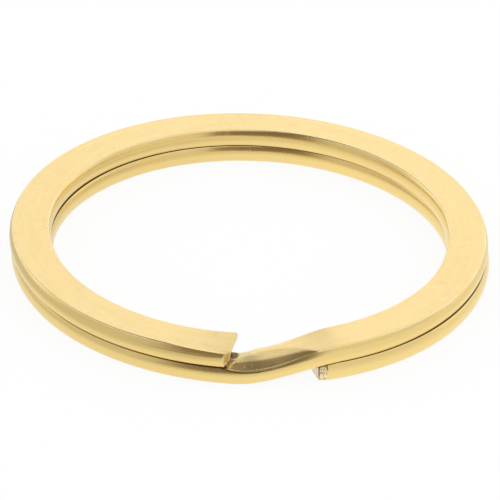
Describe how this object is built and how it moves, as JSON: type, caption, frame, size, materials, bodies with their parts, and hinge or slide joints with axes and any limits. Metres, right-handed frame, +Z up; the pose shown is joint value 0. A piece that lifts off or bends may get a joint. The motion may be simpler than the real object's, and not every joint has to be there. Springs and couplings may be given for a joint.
{
  "type": "key ring",
  "caption": "Flat-wire split ring of brass that holds keys: wire wound into stacked turns, stepped by a joggle and cropped at both ends.",
  "frame": {"origin": "middle of the ring's outline, on the surface that the lower turn rests on", "axes": "+Z up through the ring's opening; -Y towards the joggle and the two cropped ends; the upper turn runs clockwise, seen from above, from its end at the front"},
  "size_m": [0.0322, 0.032, 0.0025],
  "materials": {
    "brass_wire": "bright drawn wire, lightly polished, with fine lines along the wire"
  },
  "bodies": {
    "root": {"split_ring": "brass_wire"}
  },
  "joints": []
}
